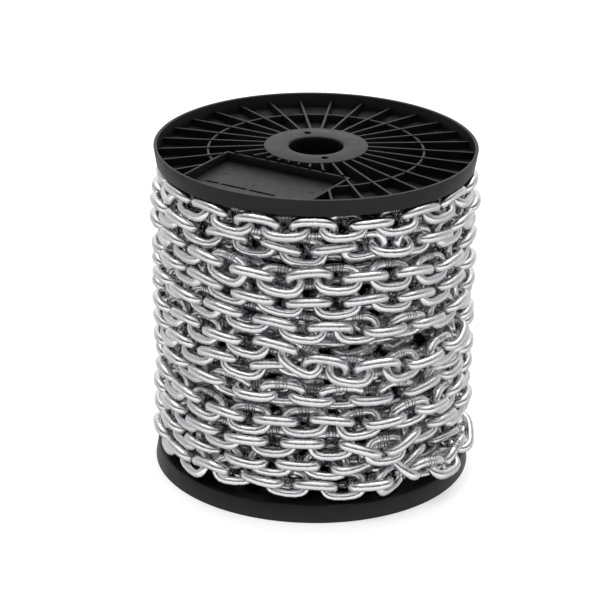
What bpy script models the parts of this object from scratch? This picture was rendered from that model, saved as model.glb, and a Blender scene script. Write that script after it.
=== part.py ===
"""A reel of short-link steel chain: two ribbed plastic flanges on a barrel, with the chain wound between them.

Metres, +Z up. The origin is on the reel's axis, at the level of the floor that it stands on.
"""

import math

import bmesh
import bpy

MM = 0.001
FIT_GAP = 0.3 * MM  # clearance between pieces that touch

# Flange
FLANGE_R = 100.0 * MM  # outer radius at the rim's lip
RIM_H = 10.9 * MM
RIM_WALL = 2.2 * MM
RIM_DRAFT = 1.8 * MM  # the rim is this much narrower at the web
RIM_ROUND = 0.6 * MM
WEB_T = 1.8 * MM
FLANGE_SEGMENTS = 60

# Hub and its holes
HUB_R = 32.0 * MM
HUB_DROP = 1.2 * MM  # the hub's face lies this far below the lip
BORE_R = 16.7 * MM
BORE_ROUND = 1.5 * MM
SCREW_HOLE_R = 2.3 * MM
SCREW_FROM_BORE = 6.7 * MM  # from the bore's wall to the screw hole's centre
SCREW_AZIMUTH = math.radians(103.0)

# Ribs on the open side of each flange
RIB_COUNT = 30
RIB_T = 1.5 * MM
RIB_DROP_AT_HUB = 1.5 * MM
RIB_DROP_AT_RIM = 4.5 * MM
RING_RIB_DROP = 3.7 * MM
RIB_ROOT = 0.7 * MM  # how far ribs and walls reach into what carries them

# Label recess, with its three walls, and the slits in its floor
RECESS_AZIMUTH = math.radians(-120.7)
RECESS_START = 34.8 * MM  # from the reel's axis to the face of the long wall
RECESS_W = 84.4 * MM
RECESS_WALL_DROP = 3.5 * MM
SLIT_W = 2.2 * MM
SLIT_FROM_WALL = 36.6 * MM  # from the long wall to the row of slits
SLIT_SPANS = ((-34.2 * MM, -25.2 * MM), (-23.6 * MM, -5.6 * MM), (-3.8 * MM, 14.0 * MM))

# Hole in the web where the chain's first link is caught
CATCH_CELL = 8  # it lies halfway between this rib and the next
CATCH_FROM_BARREL = 13.2 * MM
CATCH_L = 8.2 * MM
CATCH_W = 6.4 * MM

# Barrel
BARREL_R = 66.4 * MM
BARREL_WALL = 2.5 * MM
WINDING_H = 188.6 * MM  # clear height between the two webs
SLEEVE_WALL = 2.5 * MM
DIAPHRAGM_T = 2.5 * MM
BARREL_SEGMENTS = 48

# Chain
WIRE_D = 6.2 * MM  # 6 mm stock, over its plating
LINK_W = 20.6 * MM
LINK_SPACING = 16.9 * MM  # from link to link along the chain, which lies slack
CHAIN_LEAN = math.radians(27.0)  # the chain lies rolled about its own line
LAYER_STEP = 15.8 * MM  # from the line of one layer to that of the next
VALLEY_DEPTH = 7.6 * MM  # from the chain's line down to the groove between two turns
POCKET_DEPTH = 3.5 * MM  # from the chain's line down to the pocket in a flat link, and beside a link on edge
WIRE_FLAT = 0.6  # half height of the face that stands for a round bar, as a share of the wire's radius
# Heights between the turns' lines, from the lower web to the upper one, in proportion
TURN_SPACING = (15.0, 14.5, 13.0, 16.0, 25.5, 15.5, 28.5, 17.5, 19.5, 17.0, 16.5, 9.0)
# Where a turn stands proud of the rest: its number, the azimuth and how far
BULGES = ((5, 0.0, 3.3 * MM), (9, math.pi, 1.5 * MM), (10, math.pi, 3.3 * MM))

REEL_H = WINDING_H + 2 * RIM_H
RIB_PITCH = 2 * math.pi / RIB_COUNT
INNER_LINE_R = BARREL_R + FIT_GAP + LINK_W / 2 * math.cos(CHAIN_LEAN)
OUTER_LINE_R = INNER_LINE_R + LAYER_STEP
LAYER_BORDER_R = OUTER_LINE_R - LINK_W / 2
LINKS_PER_TURN = 2 * round(math.pi * OUTER_LINE_R / LINK_SPACING)


def clear_scene():
    for obj in list(bpy.data.objects):
        bpy.data.objects.remove(obj)


def make_material(name, colour, roughness, metallic):
    material = bpy.data.materials.new(name)
    material.use_nodes = True
    shader = material.node_tree.nodes["Principled BSDF"]
    shader.inputs["Base Color"].default_value = (*colour, 1.0)
    shader.inputs["Roughness"].default_value = roughness
    shader.inputs["Metallic"].default_value = metallic
    return material


def add_object(name, mesh, material=None):
    obj = bpy.data.objects.new(name, mesh)
    bpy.context.scene.collection.objects.link(obj)
    if material:
        mesh.materials.append(material)
    return obj


def mesh_from(name, bm):
    bm.normal_update()
    bmesh.ops.recalc_face_normals(bm, faces=bm.faces)
    mesh = bpy.data.meshes.new(name)
    bm.to_mesh(mesh)
    bm.free()
    return mesh


def turned(name, profile, segments):
    """A closed profile of (radius, height) points, turned about Z."""
    bm = bmesh.new()
    points = [bm.verts.new((r, 0, z)) for r, z in profile]
    edges = [bm.edges.new((a, b)) for a, b in zip(points, points[1:] + points[:1])]
    bmesh.ops.spin(
        bm, geom=edges, axis=(0, 0, 1), cent=(0, 0, 0), steps=segments, angle=2 * math.pi, use_merge=True
    )
    mesh = mesh_from(name, bm)
    mesh.shade_smooth()
    mesh.set_sharp_from_angle(angle=math.radians(35))
    return mesh


def add_box(bm, low, high, azimuth=0.0):
    """A box between two corners, turned about Z to an azimuth."""
    centre = [(a + b) / 2 for a, b in zip(low, high)]
    size = [b - a for a, b in zip(low, high)]
    box = bmesh.ops.create_cube(bm, size=1.0)["verts"]
    for vert in box:
        x, y, z = (c + s * v for c, s, v in zip(centre, size, vert.co))
        vert.co = (
            x * math.cos(azimuth) - y * math.sin(azimuth),
            x * math.sin(azimuth) + y * math.cos(azimuth),
            z,
        )
    return box


def add_boolean(obj, operation, tool):
    modifier = obj.modifiers.new(f"{operation.lower()} {tool.name}", "BOOLEAN")
    modifier.operation = operation
    modifier.solver = "EXACT"
    modifier.object = tool


# The flange is modelled open side up, with the web's winding face at height 0.


def rim_inner_r(height):
    return FLANGE_R - RIM_DRAFT * (1 - height / RIM_H) - RIM_WALL


def plate_mesh():
    """Hub, web and rim in one turned section."""
    hub_top = RIM_H - HUB_DROP
    outer_at_web = FLANGE_R - RIM_DRAFT
    turn = math.radians(45)
    profile = [
        (outer_at_web - RIM_ROUND, 0),
        (outer_at_web, RIM_ROUND),
        (FLANGE_R, RIM_H - RIM_ROUND),
        (FLANGE_R - RIM_ROUND, RIM_H),
        (rim_inner_r(RIM_H), RIM_H),
        (rim_inner_r(WEB_T), WEB_T),
        (HUB_R, WEB_T),
        (HUB_R, hub_top),
        (BORE_R + BORE_ROUND, hub_top),
        (
            BORE_R + BORE_ROUND * (1 - math.sin(turn)),
            hub_top - BORE_ROUND * (1 - math.cos(turn)),
        ),
        (BORE_R, hub_top - BORE_ROUND),
        (BORE_R, 0),
    ]
    return turned("plate", profile, FLANGE_SEGMENTS)


def rib_mesh():
    """The radial ribs: blades that fall from the hub to the rim."""
    bm = bmesh.new()
    inner, outer = HUB_R - RIB_ROOT, rim_inner_r(WEB_T) + RIB_ROOT
    fall = (RIB_DROP_AT_RIM - RIB_DROP_AT_HUB) / (outer - inner)
    for i in range(RIB_COUNT):
        low = (inner, -RIB_T / 2, WEB_T - RIB_ROOT)
        high = (outer, RIB_T / 2, RIM_H - RIB_DROP_AT_HUB)
        for vert in add_box(bm, low, high, i * RIB_PITCH):
            if vert.co.z > WEB_T:
                vert.co.z -= fall * (math.hypot(vert.co.x, vert.co.y) - inner)
    return mesh_from("ribs", bm)


def ring_rib_mesh():
    """The ring rib, straight above the barrel's edge."""
    inner, outer = BARREL_R - RIB_T / 2, BARREL_R + RIB_T / 2
    bottom, top = WEB_T - RIB_ROOT / 2, RIM_H - RING_RIB_DROP
    profile = [(outer, bottom), (outer, top), (inner, top), (inner, bottom)]
    return turned("ring rib", profile, FLANGE_SEGMENTS)


def recess_mesh():
    """What is cleared of ribs inside the label recess."""
    bm = bmesh.new()
    low = (RECESS_START - RIB_T / 2, -RECESS_W / 2 - RIB_T / 2, -RIM_H)
    high = (2 * FLANGE_R, RECESS_W / 2 + RIB_T / 2, 2 * RIM_H)
    add_box(bm, low, high, RECESS_AZIMUTH)
    return mesh_from("recess", bm)


def recess_wall_mesh():
    """Three walls as one outline, whose two ends stop inside the rim."""
    top, bottom = RIM_H - RECESS_WALL_DROP, WEB_T - RIB_ROOT / 4
    half = RECESS_W / 2
    end = math.sqrt((rim_inner_r(WEB_T) + RIB_ROOT) ** 2 - (half + RIB_T) ** 2)
    outline = [
        (RECESS_START - RIB_T, -half - RIB_T),
        (end, -half - RIB_T),
        (end, -half),
        (RECESS_START, -half),
        (RECESS_START, half),
        (end, half),
        (end, half + RIB_T),
        (RECESS_START - RIB_T, half + RIB_T),
    ]
    cos, sin = math.cos(RECESS_AZIMUTH), math.sin(RECESS_AZIMUTH)
    bm = bmesh.new()
    floor = bm.faces.new([bm.verts.new((u * cos - v * sin, u * sin + v * cos, bottom)) for u, v in outline])
    raised = bmesh.ops.extrude_face_region(bm, geom=[floor])["geom"]
    for vert in (item for item in raised if isinstance(item, bmesh.types.BMVert)):
        vert.co.z = top
    return mesh_from("recess walls", bm)


def hole_mesh():
    """Cutters for the screw holes, the slits and the catch hole."""
    bm = bmesh.new()
    below, above = -WEB_T, 2 * RIM_H
    circle = BORE_R + SCREW_FROM_BORE
    for azimuth in (SCREW_AZIMUTH, SCREW_AZIMUTH + math.pi):
        pin = bmesh.ops.create_cone(
            bm, cap_ends=True, segments=12, radius1=SCREW_HOLE_R, radius2=SCREW_HOLE_R, depth=above - below
        )["verts"]
        place = (circle * math.cos(azimuth), circle * math.sin(azimuth), (above + below) / 2)
        bmesh.ops.translate(bm, verts=pin, vec=place)
    slit = RECESS_START + SLIT_FROM_WALL
    for start, end in SLIT_SPANS:
        low = (slit - SLIT_W / 2, start, below)
        high = (slit + SLIT_W / 2, end, above)
        add_box(bm, low, high, RECESS_AZIMUTH)
    catch = BARREL_R + CATCH_FROM_BARREL
    low = (catch - CATCH_L / 2, -CATCH_W / 2, below)
    high = (catch + CATCH_L / 2, CATCH_W / 2, above)
    add_box(bm, low, high, (CATCH_CELL + 0.5) * RIB_PITCH)
    return mesh_from("holes", bm)


def add_tool(owner, step, mesh):
    """A hidden helper of an object, moving with it."""
    tool = add_object(f"{owner.name}_{step}", mesh)
    tool.hide_render = True
    tool.display_type = "WIRE"
    tool.parent = owner
    return tool


def add_ribs(flange):
    """Radial ribs and ring rib, stopped at the recess's walls."""
    ribs = add_tool(flange, "ribs", rib_mesh())
    add_boolean(ribs, "UNION", add_tool(flange, "ring_rib", ring_rib_mesh()))
    add_boolean(ribs, "DIFFERENCE", add_tool(flange, "recess", recess_mesh()))
    add_boolean(ribs, "UNION", add_tool(flange, "recess_walls", recess_wall_mesh()))
    return ribs


def add_flange(name, material, height, flipped):
    """A flange at the height of its web's winding face, open side up or, flipped, down."""
    flange = add_object(name, plate_mesh(), material)
    add_boolean(flange, "UNION", add_ribs(flange))
    add_boolean(flange, "DIFFERENCE", add_tool(flange, "holes", hole_mesh()))
    flange.location.z = height
    if flipped:
        flange.rotation_euler.x = math.pi
    return flange


def add_barrel(material):
    """The outer tube and the axle's sleeve, joined halfway by a diaphragm."""
    half = WINDING_H / 2 - FIT_GAP
    tube_inner = BARREL_R - BARREL_WALL
    sleeve_outer = BORE_R + SLEEVE_WALL
    upper = [
        (BARREL_R, half),
        (tube_inner, half),
        (tube_inner, DIAPHRAGM_T / 2),
        (sleeve_outer, DIAPHRAGM_T / 2),
        (sleeve_outer, half),
        (BORE_R, half),
    ]
    lower = [(r, -z) for r, z in reversed(upper)]
    barrel = add_object("barrel", turned("barrel", upper + lower, BARREL_SEGMENTS), material)
    barrel.location.z = REEL_H / 2
    return barrel


def add_inner_layer(material):
    """The hidden first layer of chain, as one plain ring."""
    half = WINDING_H / 2 - FIT_GAP
    inner, outer = BARREL_R + FIT_GAP, LAYER_BORDER_R - FIT_GAP
    profile = [(outer, half), (inner, half), (inner, -half), (outer, -half)]
    mesh = turned("chain_inner_layer", profile, 2 * LINKS_PER_TURN)
    layer = add_object("chain_inner_layer", mesh, material)
    layer.location.z = REEL_H / 2
    return layer


def turn_heights():
    """Heights of the turns' lines above the lower web, and of the grooves around them."""
    scale = WINDING_H / sum(TURN_SPACING)
    lines = [scale * sum(TURN_SPACING[: i + 1]) for i in range(len(TURN_SPACING) - 1)]
    grooves = [(a + b) / 2 for a, b in zip(lines, lines[1:])]
    return lines, [FIT_GAP, *grooves, WINDING_H - FIT_GAP]


def bulge_at(turn, azimuth):
    return sum(
        depth * max(0.0, math.cos(azimuth - centre)) ** 4
        for number, centre, depth in BULGES
        if number == turn
    )


def link_section(turn, station):
    """A turn's section at one end of a link, bottom to top: (height above its line, distance out from it).

    Links alternate between standing on edge, with one side bar outwards, and lying flat, with the
    lower side bar proud because the chain leans, and a pocket between its two bars.
    """
    bar, wire = (LINK_W - WIRE_D) / 2, WIRE_D / 2
    near, far = bar * math.sin(CHAIN_LEAN), bar * math.cos(CHAIN_LEAN)
    flat = WIRE_FLAT * wire
    on_edge = ((station + 1) // 2 + turn) % 2
    if on_edge:
        crown = far + wire
        return (-near, -POCKET_DEPTH), (near - flat, crown), (near + flat, crown), (far + flat, -POCKET_DEPTH)
    crown = near + wire
    return (-far - flat, crown), (-far + flat, crown), (0.0, -POCKET_DEPTH), (far, wire - near)


def station_profile(station, azimuth):
    """The winding's section at one station: (radius, height above the lower web), bottom to top."""
    lines, grooves = turn_heights()
    points = [(OUTER_LINE_R - VALLEY_DEPTH, grooves[0])]
    tallest = LINK_W / 2 * math.cos(CHAIN_LEAN)
    for turn, line in enumerate(lines):
        crowded_down = min(1.0, (line - grooves[turn]) / tallest)
        crowded_up = min(1.0, (grooves[turn + 1] - line) / tallest)
        for height, out in link_section(turn, station):
            share = crowded_down if height < 0 else crowded_up
            points.append((OUTER_LINE_R + out + bulge_at(turn, azimuth), line + share * height))
        points.append((OUTER_LINE_R - VALLEY_DEPTH, grooves[turn + 1]))
    return [*points, (LAYER_BORDER_R, WINDING_H - FIT_GAP), (LAYER_BORDER_R, FIT_GAP)]


def add_outer_layer(material):
    """The layer of chain that shows: its turns and links as relief on one ring."""
    stations = 2 * LINKS_PER_TURN
    bm = bmesh.new()
    loops = []
    for station in range(stations):
        azimuth = 2 * math.pi * (station + 0.5) / stations
        loops.append(
            [
                bm.verts.new((r * math.cos(azimuth), r * math.sin(azimuth), RIM_H + z))
                for r, z in station_profile(station, azimuth)
            ]
        )
    for here, there in zip(loops, loops[1:] + loops[:1]):
        for i in range(len(here)):
            bm.faces.new((here[i - 1], there[i - 1], there[i], here[i]))
    mesh = mesh_from("chain_outer_layer", bm)
    mesh.shade_smooth()
    mesh.set_sharp_from_angle(angle=math.radians(50))
    return add_object("chain_outer_layer", mesh, material)


def main():
    clear_scene()
    plastic = make_material("reel_plastic", (0.025, 0.025, 0.027), 0.45, 0.0)
    steel = make_material("zinc_plated_steel", (0.78, 0.78, 0.79), 0.28, 1.0)
    reel = bpy.data.objects.new("reel", None)
    bpy.context.scene.collection.objects.link(reel)
    pieces = [
        add_flange("bottom_flange", plastic, RIM_H, flipped=True),
        add_flange("top_flange", plastic, REEL_H - RIM_H, flipped=False),
        add_barrel(plastic),
        add_inner_layer(steel),
        add_outer_layer(steel),
    ]
    for piece in pieces:
        piece.parent = reel


main()
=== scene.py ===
"""A reel of steel chain: its finishes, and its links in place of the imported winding.

Metres, +Z up. The origin is on the reel's axis, at the level of the floor that it stands on.
"""

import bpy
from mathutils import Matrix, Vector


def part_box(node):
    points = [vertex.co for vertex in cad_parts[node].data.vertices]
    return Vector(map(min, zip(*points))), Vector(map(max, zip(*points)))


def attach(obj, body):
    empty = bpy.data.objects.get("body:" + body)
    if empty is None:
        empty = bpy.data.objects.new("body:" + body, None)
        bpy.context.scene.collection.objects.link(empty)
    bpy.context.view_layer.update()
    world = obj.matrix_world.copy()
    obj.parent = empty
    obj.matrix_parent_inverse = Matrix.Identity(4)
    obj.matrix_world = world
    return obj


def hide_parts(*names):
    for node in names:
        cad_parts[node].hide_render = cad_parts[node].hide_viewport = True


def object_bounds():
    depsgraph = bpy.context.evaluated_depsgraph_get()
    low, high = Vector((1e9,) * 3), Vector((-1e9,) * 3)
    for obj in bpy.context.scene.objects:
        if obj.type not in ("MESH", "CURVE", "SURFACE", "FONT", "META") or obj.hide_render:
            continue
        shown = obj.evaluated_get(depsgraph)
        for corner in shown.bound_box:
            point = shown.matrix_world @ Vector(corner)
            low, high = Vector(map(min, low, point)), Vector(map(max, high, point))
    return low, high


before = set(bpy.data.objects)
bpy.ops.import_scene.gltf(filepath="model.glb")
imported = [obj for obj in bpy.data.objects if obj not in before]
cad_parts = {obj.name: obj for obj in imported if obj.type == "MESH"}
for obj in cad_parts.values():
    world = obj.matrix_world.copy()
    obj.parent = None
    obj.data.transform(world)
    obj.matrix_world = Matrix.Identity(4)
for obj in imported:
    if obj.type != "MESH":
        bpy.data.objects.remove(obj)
CAD_BOX = [[float(value) for value in corner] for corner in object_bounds()]

import math
from collections import namedtuple

import bmesh
import bpy
import numpy as np
from bpy.props import FloatProperty, FloatVectorProperty, IntProperty, PointerProperty
from mathutils import Matrix, Vector

bl_info = {
    "name": "Chain Reel",
    "version": (1, 0, 0),
    "blender": (4, 5, 0),
    "location": "3D Viewport > Sidebar > Chain Reel",
    "description": "Builds a plastic reel wound full of short-link steel chain",
    "category": "Add Mesh",
}

MM = 0.001
BODY = "root"
PLASTIC_SLOT = "reel_plastic"
ZINC_SLOT = "zinc_plated_steel"
TOP_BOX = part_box("top_flange")
BOTTOM_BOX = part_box("bottom_flange")

# The photo's camera, from a fit to both flanges of the reel
CAMERA_PLACE = Vector((-8.64, -1506.94, 740.58)) * MM
CAMERA_PITCH = math.radians(22.84347)
CAMERA_ROLL = math.radians(0.742294)
CAMERA_LENS = 155.73
SENSOR_W = 36.0


class ReelSizes(bpy.types.PropertyGroup):
    """Sizes of the plastic reel."""

    flange_r: FloatProperty(
        name="Flange Radius", description="Radius of the flange at its lip", unit="LENGTH",
        default=(TOP_BOX[1][0] - TOP_BOX[0][0]) / 2,
    )
    rim_h: FloatProperty(
        name="Rim Height", description="Height of the flange's rim", unit="LENGTH",
        default=TOP_BOX[1][2] - TOP_BOX[0][2],
    )
    rim_wall: FloatProperty(
        name="Rim Wall", description="Thickness of the rim", default=2.2 * MM, unit="LENGTH",
    )
    rim_draft: FloatProperty(
        name="Rim Draft", description="How much narrower the rim is at the web", default=1.8 * MM,
        unit="LENGTH",
    )
    rim_round: FloatProperty(
        name="Lip Rounding", description="Rounding of the rim's edges", default=0.6 * MM, unit="LENGTH",
    )
    web_t: FloatProperty(name="Web", description="Thickness of the web", default=1.8 * MM, unit="LENGTH")
    hub_r: FloatProperty(
        name="Hub Radius", description="Radius of the hub", default=32.0 * MM, unit="LENGTH",
    )
    hub_drop: FloatProperty(
        name="Hub Drop", description="Depth of the hub's face below the lip", default=1.2 * MM,
        unit="LENGTH",
    )
    bore_r: FloatProperty(
        name="Bore Radius", description="Radius of the bore", default=16.7 * MM, unit="LENGTH",
    )
    bore_round: FloatProperty(
        name="Bore Rounding", description="Rounding of the bore's mouth", default=1.5 * MM, unit="LENGTH",
    )
    screw_r: FloatProperty(
        name="Screw Hole", description="Radius of the screw holes", default=2.3 * MM, unit="LENGTH",
    )
    screw_circle_r: FloatProperty(
        name="Screw Circle", description="From the axis to a screw hole", default=23.4 * MM, unit="LENGTH",
    )
    screw_azimuth: FloatProperty(
        name="Screw Azimuth", description="Azimuth of the first screw hole", default=math.radians(103.0),
        unit="ROTATION",
    )
    rib_count: IntProperty(name="Ribs", description="Radial ribs on a flange", default=30, min=3)
    rib_t: FloatProperty(name="Rib", description="Thickness of a rib", default=1.5 * MM, unit="LENGTH")
    rib_drop_hub: FloatProperty(
        name="Rib Drop at Hub", description="Depth of a rib below the lip, at the hub", default=1.5 * MM,
        unit="LENGTH",
    )
    rib_drop_rim: FloatProperty(
        name="Rib Drop at Rim", description="Depth of a rib below the lip, at the rim", default=4.5 * MM,
        unit="LENGTH",
    )
    ring_drop: FloatProperty(
        name="Ring Rib Drop", description="Depth of the ring rib below the lip", default=3.7 * MM,
        unit="LENGTH",
    )
    barrel_r: FloatProperty(
        name="Barrel Radius", description="Radius of the barrel, and of the ring rib above its edge",
        default=66.4 * MM, unit="LENGTH",
    )
    recess_azimuth: FloatProperty(
        name="Recess Azimuth", description="Azimuth of the label recess", default=math.radians(-120.7),
        unit="ROTATION",
    )
    recess_start: FloatProperty(
        name="Recess Start", description="From the axis to the recess's long wall", default=34.8 * MM,
        unit="LENGTH",
    )
    recess_w: FloatProperty(
        name="Recess Width", description="Length of the recess's long wall", default=84.4 * MM,
        unit="LENGTH",
    )
    recess_drop: FloatProperty(
        name="Recess Wall Drop", description="Depth of the recess's walls below the lip", default=3.5 * MM,
        unit="LENGTH",
    )


class ChainSizes(bpy.types.PropertyGroup):
    """Sizes of the chain, and how it is settled."""

    wire: FloatProperty(name="Wire", description="Diameter of the wire", default=6.2 * MM, unit="LENGTH")
    width: FloatProperty(name="Link Width", description="Width of a link", default=20.6 * MM, unit="LENGTH")
    pitch: FloatProperty(name="Pitch", description="Length inside a link", default=18.2 * MM, unit="LENGTH")
    lean: FloatProperty(
        name="Lean", description="How far the chain lies rolled about its own line",
        default=math.radians(27.0), unit="ROTATION",
    )
    inner_r: FloatProperty(
        name="Inner Layer", description="From the axis to the inner layer's line", default=75.6 * MM,
        unit="LENGTH",
    )
    outer_r: FloatProperty(
        name="Outer Layer", description="From the axis to the outer layer's line", default=91.1 * MM,
        unit="LENGTH",
    )
    seed: IntProperty(name="Seed", description="Seed of the links' small differences", default=5)
    steps: IntProperty(name="Settling Steps", description="Rounds of settling", default=220, min=1)


class Finishes(bpy.types.PropertyGroup):
    """Colours and gloss."""

    plastic: FloatVectorProperty(
        name="Plastic", description="Colour of the plastic", subtype="COLOR",
        default=(0.0045, 0.0045, 0.0048),
    )
    plastic_roughness: FloatProperty(
        name="Plastic Roughness", description="Roughness of the plastic", subtype="FACTOR", default=0.40,
        min=0.0, max=1.0,
    )
    zinc: FloatVectorProperty(
        name="Zinc", description="Colour of the zinc plating", subtype="COLOR",
        default=(0.78, 0.78, 0.79),
    )
    zinc_roughness: FloatProperty(
        name="Zinc Roughness", description="Roughness of the zinc plating", subtype="FACTOR", default=0.19,
        min=0.0, max=1.0,
    )


class StageSettings(bpy.types.PropertyGroup):
    """Floor and light."""

    floor_size: FloatProperty(name="Floor", description="Side of the floor", default=16.0, unit="LENGTH")
    surround: FloatProperty(
        name="Surround", description="Brightness of the studio's walls", default=1.02, min=0.0,
    )
    softbox: FloatProperty(
        name="Softbox", description="Power of the overhead softbox", default=66.0, min=0.0,
    )


# Selecting and modelling


def deselect():
    bpy.ops.object.select_all(action="DESELECT")


def activate(obj):
    deselect()
    obj.select_set(True)
    bpy.context.view_layer.objects.active = obj


def edit(obj):
    """Opens an object in edit mode with nothing selected."""
    activate(obj)
    bpy.ops.object.mode_set(mode="EDIT")
    bpy.ops.mesh.select_mode(type="VERT")
    bpy.ops.mesh.select_all(action="DESELECT")


def leave_edit():
    bpy.ops.object.mode_set(mode="OBJECT")


def select_points(test):
    """Selects the vertices whose place passes a test, with the edges and faces between them."""
    bpy.ops.mesh.select_mode(type="VERT")
    bpy.ops.mesh.select_all(action="DESELECT")
    bm = bmesh.from_edit_mesh(bpy.context.edit_object.data)
    for vert in bm.verts:
        vert.select_set(test(vert.co))
    bm.select_flush_mode()
    bmesh.update_edit_mesh(bpy.context.edit_object.data)


def select_faces(test):
    """Selects the faces whose centre and normal pass a test."""
    bpy.ops.mesh.select_mode(type="FACE")
    bpy.ops.mesh.select_all(action="DESELECT")
    bm = bmesh.from_edit_mesh(bpy.context.edit_object.data)
    for face in bm.faces:
        face.select_set(test(face.calc_center_median(), face.normal))
    bm.select_flush_mode()
    bmesh.update_edit_mesh(bpy.context.edit_object.data)


def select_rings(*rings):
    """Selects the circular edges at each (radius, height)."""
    bpy.ops.mesh.select_mode(type="EDGE")
    bpy.ops.mesh.select_all(action="DESELECT")
    bm = bmesh.from_edit_mesh(bpy.context.edit_object.data)
    for edge in bm.edges:
        ends = [(v.co.xy.length, v.co.z) for v in edge.verts]
        edge.select_set(
            any(all(math.dist(end, ring) < 0.05 * MM for end in ends) for ring in rings)
        )
    bm.select_flush_mode()
    bmesh.update_edit_mesh(bpy.context.edit_object.data)


def apply_modifiers(obj):
    activate(obj)
    for modifier in list(obj.modifiers):
        bpy.ops.object.modifier_apply(modifier=modifier.name)


def combine(obj, operation, tool):
    """Adds a tool to a piece, or cuts it away, and removes the tool."""
    modifier = obj.modifiers.new(operation.title(), "BOOLEAN")
    modifier.operation = operation
    modifier.solver = "EXACT"
    modifier.object = tool
    apply_modifiers(obj)
    bpy.data.objects.remove(tool)


def join(name, parts):
    deselect()
    for part in parts:
        part.select_set(True)
    bpy.context.view_layer.objects.active = parts[0]
    bpy.ops.object.join()
    parts[0].name = name
    return parts[0]


def copy_of(obj, name, matrix):
    """A copy with its own mesh, placed by moving the mesh."""
    made = bpy.data.objects.new(name, obj.data.copy())
    bpy.context.scene.collection.objects.link(made)
    made.data.transform(matrix)
    return made


def box_between(name, low, high):
    """A box added at its size and place, with its place in its mesh."""
    low, high = Vector(low), Vector(high)
    deselect()
    bpy.ops.mesh.primitive_cube_add(size=1.0, location=(low + high) / 2)
    box = bpy.context.object
    box.name = name
    box.scale = high - low
    bpy.ops.object.transform_apply(location=True, rotation=True, scale=True)
    return box


def pin(name, radius, place, low, high, segments=32):
    """A round pin that stands at a place."""
    deselect()
    bpy.ops.mesh.primitive_cylinder_add(
        vertices=segments, radius=radius, depth=high - low, location=(place[0], place[1], (low + high) / 2)
    )
    made = bpy.context.object
    made.name = name
    bpy.ops.object.transform_apply(location=True, rotation=True, scale=True)
    return made


# Nodes for materials and the world


class Nodes:
    """Adds nodes to a material's or a world's tree, and links them."""

    def __init__(self, owner, shader="Principled BSDF"):
        self.owner = owner
        owner.use_nodes = True
        self.tree = owner.node_tree
        self.shader = self.tree.nodes[shader]

    def add(self, kind, inputs=None, **settings):
        node = self.tree.nodes.new(kind)
        for key, value in settings.items():
            setattr(node, key, value)
        for key, value in (inputs or {}).items():
            self.feed(node.inputs[key], value)
        return node

    def feed(self, socket, value):
        if isinstance(value, bpy.types.NodeSocket):
            self.tree.links.new(value, socket)
        else:
            socket.default_value = value

    def math(self, operation, a, b=0.0):
        node = self.add("ShaderNodeMath", operation=operation)
        self.feed(node.inputs[0], a)
        self.feed(node.inputs[1], b)
        return node.outputs[0]

    def noise(self, vector, scale, detail=3.0, roughness=0.5):
        inputs = {"Vector": vector, "Scale": scale, "Detail": detail, "Roughness": roughness}
        return self.add("ShaderNodeTexNoise", inputs).outputs["Fac"]

    def span(self, value, low, high, to_low=0.0, to_high=1.0, smooth=False):
        node = self.add("ShaderNodeMapRange", clamp=True)
        node.interpolation_type = "SMOOTHSTEP" if smooth else "LINEAR"
        keys = ("Value", "From Min", "From Max", "To Min", "To Max")
        for key, number in zip(keys, (value, low, high, to_low, to_high)):
            self.feed(node.inputs[key], number)
        return node.outputs["Result"]

    def mix(self, share, a, b):
        node = self.add("ShaderNodeMix", data_type="RGBA")
        self.feed(node.inputs[0], share)
        self.feed(node.inputs[6], (*a, 1.0) if isinstance(a, tuple) else a)
        self.feed(node.inputs[7], (*b, 1.0) if isinstance(b, tuple) else b)
        return node.outputs[2]

    def bump(self, height, distance, strength=1.0, normal=None):
        node = self.add("ShaderNodeBump", {"Height": height, "Distance": distance, "Strength": strength})
        if normal is not None:
            self.feed(node.inputs["Normal"], normal)
        return node.outputs["Normal"]


def scaled(colour, factor):
    return tuple(min(1.0, channel * factor) for channel in colour)


def plastic_material(finishes):
    """Black moulded plastic: a satin skin with a fine grain, faint sink marks and a little dust."""
    nodes = Nodes(bpy.data.materials.new("moulded black plastic"))
    place = nodes.add("ShaderNodeTexCoord").outputs["Object"]
    broad = nodes.noise(place, 28.0, 3.0)
    grain = nodes.noise(place, 2600.0, 2.0)
    flow = nodes.noise(place, 160.0, 4.0)
    specks = nodes.add("ShaderNodeTexVoronoi", {"Vector": place, "Scale": 210.0}).outputs["Distance"]
    speck_share = nodes.math("MULTIPLY", nodes.span(specks, 0.05, 0.02), nodes.span(flow, 0.52, 0.62))
    colour = tuple(finishes.plastic)
    skin = nodes.mix(nodes.span(broad, 0.35, 0.65), scaled(colour, 0.75), scaled(colour, 1.35))
    dusty = nodes.mix(nodes.math("MULTIPLY", speck_share, 0.5), skin, (0.22, 0.22, 0.22))
    nodes.feed(nodes.shader.inputs["Base Color"], dusty)
    rough = finishes.plastic_roughness
    satin = nodes.span(flow, 0.3, 0.7, rough - 0.05, rough + 0.06)
    grainy = nodes.math("ADD", satin, nodes.math("MULTIPLY", grain, 0.04))
    nodes.feed(nodes.shader.inputs["Roughness"], grainy)
    nodes.shader.inputs["IOR"].default_value = 1.45
    nodes.shader.inputs["Specular IOR Level"].default_value = 0.32
    sink = nodes.bump(flow, 0.00025, 0.25)
    nodes.feed(nodes.shader.inputs["Normal"], nodes.bump(grain, 0.00006, 0.35, sink))
    return nodes.owner


# The plating's pattern, in millimetres
LINK_SHIFT = 400.0  # the most that one link's pattern is moved from another's
TOOTH_PITCH = 1.7  # spacing of the marks that the welding jaws leave
WELD_HALF_IN, WELD_HALF_OUT = 3.2, 4.0  # from the weld's middle to where the marks fade


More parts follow.
